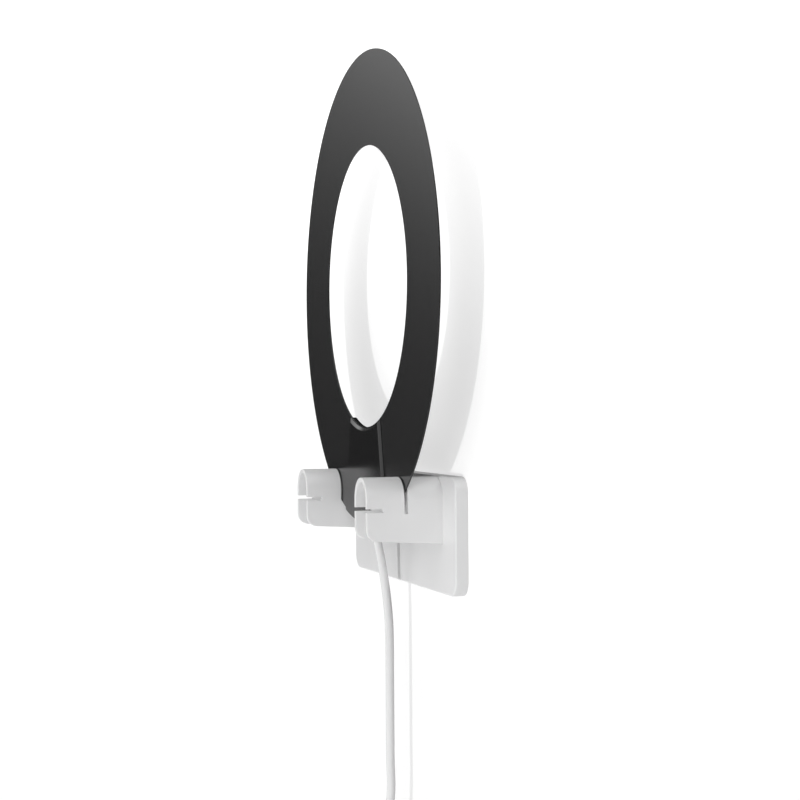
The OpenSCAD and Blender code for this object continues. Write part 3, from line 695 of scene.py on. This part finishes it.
def strap_loop(bm, z, radius):
    """Loop round the outermost runs of the hank, at one height."""
    places = [(-OUTER_R, LAYERS[3]), (OUTER_R, LAYERS[3]), (OUTER_R, LAYERS[1]),
              (FOLD_R, LAYERS[0]), (-FOLD_R, LAYERS[0]), (-OUTER_R, LAYERS[1])]
    turns = [(-90, 0), (0, 90), (90, 135), (135, 180), (180, 225), (225, 270)]
    loop = outline(bm, 0, [(x, y, radius, *t) for (x, y), t in zip(places, turns)], steps=6)
    verts = list({v for e in loop for v in e.verts})
    bmesh.ops.rotate(bm, verts=verts, cent=(0, 0, 0),
                     matrix=Matrix.Rotation(-math.pi / 2, 3, "X"))
    for vert in verts:
        vert.co = (vert.co.x, vert.co.y, z)
    return loop


def hank_tie():
    middle_z, half = (HANK_TOP + HANK_LOW) / 2, 6
    bm = bmesh.new()
    inside, outside = CABLE_R + 0.02, CABLE_R + 1.2
    stack(bm, [strap_loop(bm, middle_z - half, inside), strap_loop(bm, middle_z - half, outside),
               strap_loop(bm, middle_z + half, outside), strap_loop(bm, middle_z + half, inside)],
          closed=True)
    soften(bm, 0.25, 2)
    front = LAYERS[0] - outside
    tab = prism([(-9, middle_z - half), (-9, middle_z + half), (5, middle_z, half, 0, 180)],
                front - 1.1, front - 0.05)
    soften(tab, 0.3, 2)
    return gather(bm, tab)


tie = piece(hank_tie(), "hank_strap", "antenna", strap_grey, ("bundle_tie",))

# ---- plug ----


def plug_grip():
    profile = [(0, PLUG_Z), (2.7, PLUG_Z), (3, PLUG_Z - 0.4)]
    for ring_no in range(3):
        top_z = PLUG_Z - 1 - 1.5 * ring_no
        r = 3.3 + 0.75 * ring_no
        profile += [(r, top_z), (r - 0.25, top_z - 0.3), (r - 0.2, top_z - 0.7),
                    (r + 0.35, top_z - 0.9)]
    profile += [(5.9, PLUG_Z - 6), (GRIP_R, PLUG_Z - 7)]
    for ring_no in range(6):
        top_z = PLUG_Z - 8.6 - 2 * ring_no
        profile += [(GRIP_R, top_z), (GRIP_R - 0.45, top_z - 0.35), (GRIP_R - 0.45, top_z - 0.85),
                    (GRIP_R, top_z - 1.2)]
    profile += [(GRIP_R, GRIP_LOW + 0.8), (GRIP_R - 0.6, GRIP_LOW), (SEAT_R, GRIP_LOW),
                (SEAT_R, GRIP_LOW + 3), (0, GRIP_LOW + 3)]
    return turned(profile, x=PLUG_X, y=PLUG_Y, steps=64)


plug_parts = [
    piece(plug_grip(), "aerial_plug_grip", "antenna", plug_white, ("plug_grip",)),
    piece(turned([(0, GRIP_LOW + 3), (SEAT_R, GRIP_LOW + 3), (SEAT_R, GRIP_LOW),
                  (SHELL_R, GRIP_LOW), (SHELL_R, -299.2), (4.55, -299.5), (4.55, -300),
                  (SHELL_R, -300.3), (SHELL_R, -307), (4.6, -307.4), (4.35, SHELL_LOW),
                  (4.1, -307.4), (BORE_R, -307.1), (BORE_R, GRIP_LOW + 2.5),
                  (0, GRIP_LOW + 2.5)],
                 x=PLUG_X, y=PLUG_Y, steps=64),
          "aerial_plug_shell", "antenna", nickel, ("plug_shell",)),
    piece(turned([(PIN_R, INSULATOR_LOW), (3.7, INSULATOR_LOW), (3.95, INSULATOR_LOW + 0.2),
                  (3.95, INSULATOR_TOP), (PIN_R, INSULATOR_TOP)], x=PLUG_X, y=PLUG_Y),
          "aerial_plug_insulator", "antenna", insulator, ("plug_insulator",)),
    piece(turned([(0, INSULATOR_TOP), (PIN_R, INSULATOR_TOP), (PIN_R, -305.3), (1.05, -305.8),
                  (0.75, -306.25), (0.35, -306.47), (0, PIN_TIP)], x=PLUG_X, y=PLUG_Y, steps=32),
          "aerial_plug_pin", "antenna", nickel, ("plug_pin",)),
]

# ---- better finishes on the CAD nodes that stay ----

for node, look in (("radiator_foil", foil), ("matching_board", board), ("balun_core", ferrite),
                   ("balun_winding", copper_wire), ("chip_capacitors", chip),
                   ("feed_springs", spring_metal), ("cable_clamp", steel),
                   ("clamp_screws", steel), ("cable_end", cable_white),
                   ("cable_core", copper_wire)):
    for place in nodes[node].material_slots:
        place.material = look

# ---- wall, floor and light ----

WALL_Y, FLOOR_Z = 0.00005, -1.0
WALL_TONE, FLOOR_TONE = 0.52, 0.85
# glow of the wall by height, as two ramps that are added
WALL_GLOW_LOW, WALL_GLOW_HIGH = ((-0.09, 0.46), (0.03, 0.57)), ((0.06, 0), (0.25, 0.33))


def stage_plane(name, look, corners):
    bm = bmesh.new()
    bm.faces.new([bm.verts.new(c) for c in corners])
    mesh = bpy.data.meshes.new(name)
    bm.to_mesh(mesh)
    bm.free()
    mesh.materials.append(look)
    obj = bpy.data.objects.new(name, mesh)
    scene.collection.objects.link(obj)
    return obj


def plain_look(name, tone):
    look = bpy.data.materials.new(name)
    look.use_nodes = True
    shader = look.node_tree.nodes["Principled BSDF"]
    shader.inputs["Base Color"].default_value = (tone, tone, tone, 1)
    shader.inputs["Roughness"].default_value = 0.95
    shader.inputs["Specular IOR Level"].default_value = 0.0
    return look


def ramp(tree, source, stops):
    """Smooth step between two (input, output) stops."""
    node = tree.nodes.new("ShaderNodeMapRange")
    node.interpolation_type = "SMOOTHSTEP"
    (x0, y0), (x1, y1) = stops
    for socket, value in (("From Min", x0), ("From Max", x1), ("To Min", y0), ("To Max", y1)):
        node.inputs[socket].default_value = value
    tree.links.new(source, node.inputs["Value"])
    return node.outputs["Result"]


def wall_look():
    """White wall that glows a little, so that shadows on it stay light: most at the top.
    It is seen from the front only."""
    look = plain_look("room_wall", WALL_TONE)
    tree = look.node_tree
    shader = tree.nodes["Principled BSDF"]
    shader.inputs["Emission Color"].default_value = (1, 1, 1, 1)
    place = tree.nodes.new("ShaderNodeTexCoord")
    split = tree.nodes.new("ShaderNodeSeparateXYZ")
    tree.links.new(place.outputs["Object"], split.inputs[0])
    glow = tree.nodes.new("ShaderNodeMath")
    for stops, socket in zip((WALL_GLOW_LOW, WALL_GLOW_HIGH), glow.inputs):
        tree.links.new(ramp(tree, split.outputs["Z"], stops), socket)
    tree.links.new(glow.outputs[0], shader.inputs["Emission Strength"])
    side = tree.nodes.new("ShaderNodeNewGeometry")
    clear = tree.nodes.new("ShaderNodeBsdfTransparent")
    blend = tree.nodes.new("ShaderNodeMixShader")
    tree.links.new(side.outputs["Backfacing"], blend.inputs[0])
    tree.links.new(shader.outputs[0], blend.inputs[1])
    tree.links.new(clear.outputs[0], blend.inputs[2])
    tree.links.new(blend.outputs[0], tree.nodes["Material Output"].inputs["Surface"])
    return look


wall = stage_plane("room_wall", wall_look(),
                   [(-7, WALL_Y, FLOOR_Z), (4, WALL_Y, FLOOR_Z), (4, WALL_Y, 3), (-7, WALL_Y, 3)])
wall.visible_diffuse = wall.visible_glossy = False
floor = stage_plane("room_floor", plain_look("room_floor", FLOOR_TONE),
                    [(-7, -6, FLOOR_Z), (6, -6, FLOOR_Z), (6, 6, FLOOR_Z), (-7, 6, FLOOR_Z)])
floor.visible_shadow = False


def sun(name, toward, energy, spread):
    data = bpy.data.lights.new(name, "SUN")
    data.energy = energy
    data.angle = math.radians(spread)
    obj = bpy.data.objects.new(name, data)
    obj.rotation_mode = "QUATERNION"
    obj.rotation_quaternion = Vector(toward).to_track_quat("Z", "Y")
    scene.collection.objects.link(obj)
    return obj


for light in (sun("front_key", (0.39, -0.92, -0.21), 1.15, 3),
              sun("side_fill", (0.87, -0.5, 0.2), 0.45, 40)):
    light.visible_glossy = False      # the suns leave no glints

world = bpy.data.worlds.new("studio")
scene.world = world
world.use_nodes = True
tree = world.node_tree
background = tree.nodes["Background"]
background.inputs["Color"].default_value = (1, 1, 1, 1)
direction = tree.nodes.new("ShaderNodeTexCoord")
split = tree.nodes.new("ShaderNodeSeparateXYZ")
tree.links.new(direction.outputs["Generated"], split.inputs[0])
toward_x, toward_y, toward_z = (split.outputs[axis] for axis in "XYZ")


def mixed(low, high, factor):
    """World level between two others; each may be a number or a socket."""
    node = tree.nodes.new("ShaderNodeMix")
    for socket, value in (("A", low), ("B", high), ("Factor", factor)):
        if isinstance(value, (int, float)):
            node.inputs[socket].default_value = value
        else:
            tree.links.new(value, node.inputs[socket])
    return node.outputs["Result"]


def maths(kind, one, two):
    """One sum in the world's nodes; each term may be a number or a socket."""
    node = tree.nodes.new("ShaderNodeMath")
    node.operation = kind
    for socket, value in zip(node.inputs, (one, two)):
        if isinstance(value, (int, float)):
            socket.default_value = value
        else:
            tree.links.new(value, socket)
    return node.outputs[0]


# Strength of the world by direction. A dark card stands where the ring mirrors it, with a
# bright field above, and a small lamp low on the left is meant for the plate's lower edge.
FRONT_LEVEL, TOP_LEVEL, LOW_LEVEL = 0.14, 1.6, 0.04
DARK_LEVEL, HIGH_LEVEL, LAMP_LEVEL = 0.025, 1.6, 8.0
CARD_LIFT, LAMP_X, LAMP_Z = 0.28, -0.955, -0.297
behind = ramp(tree, toward_x, ((-0.6, 0.6), (-0.1, 0.12)))
level = mixed(FRONT_LEVEL, behind, ramp(tree, toward_y, ((-0.1, 0), (0.3, 1))))
level = mixed(LOW_LEVEL, level, ramp(tree, toward_z, ((-0.45, 0), (0.05, 1))))
level = mixed(level, TOP_LEVEL, maths("MULTIPLY", ramp(tree, toward_z, ((0.25, 0), (0.85, 1))),
                                      ramp(tree, toward_x, ((-0.5, 0.25), (0.2, 1)))))
lifted = maths("SUBTRACT", toward_z, maths("ADD", toward_y, CARD_LIFT))
level = mixed(level, HIGH_LEVEL, maths("MULTIPLY", ramp(tree, lifted, ((0.135, 0), (0.28, 1))),
                                       ramp(tree, toward_x, ((-0.85, 1), (-0.4, 0)))))
clear_of_card = maths("MAXIMUM", ramp(tree, lifted, ((0.13, 0), (0.25, 1))),
                      ramp(tree, toward_x, ((-0.65, 0), (-0.15, 1))))
clear_of_card = maths("MAXIMUM", clear_of_card, ramp(tree, toward_z, ((-0.32, 1), (-0.12, 0))))
off_lamp = maths("ADD", maths("MULTIPLY", toward_z, -LAMP_Z), maths("MULTIPLY", toward_x, -LAMP_X))
level = maths("MAXIMUM", level, ramp(tree, off_lamp, ((-0.985, LAMP_LEVEL), (-0.965, 0))))
tree.links.new(mixed(DARK_LEVEL, level, clear_of_card), background.inputs["Strength"])
# the backdrop that is seen, past the wall and the floor
pale = tree.nodes.new("ShaderNodeBackground")
pale.inputs["Color"].default_value = (0.93, 0.93, 0.93, 1)
seen = tree.nodes.new("ShaderNodeLightPath")
blend = tree.nodes.new("ShaderNodeMixShader")
tree.links.new(seen.outputs["Is Camera Ray"], blend.inputs[0])
tree.links.new(background.outputs[0], blend.inputs[1])
tree.links.new(pale.outputs[0], blend.inputs[2])
tree.links.new(blend.outputs[0], tree.nodes["World Output"].inputs["Surface"])
scene.view_settings.view_transform = "Standard"
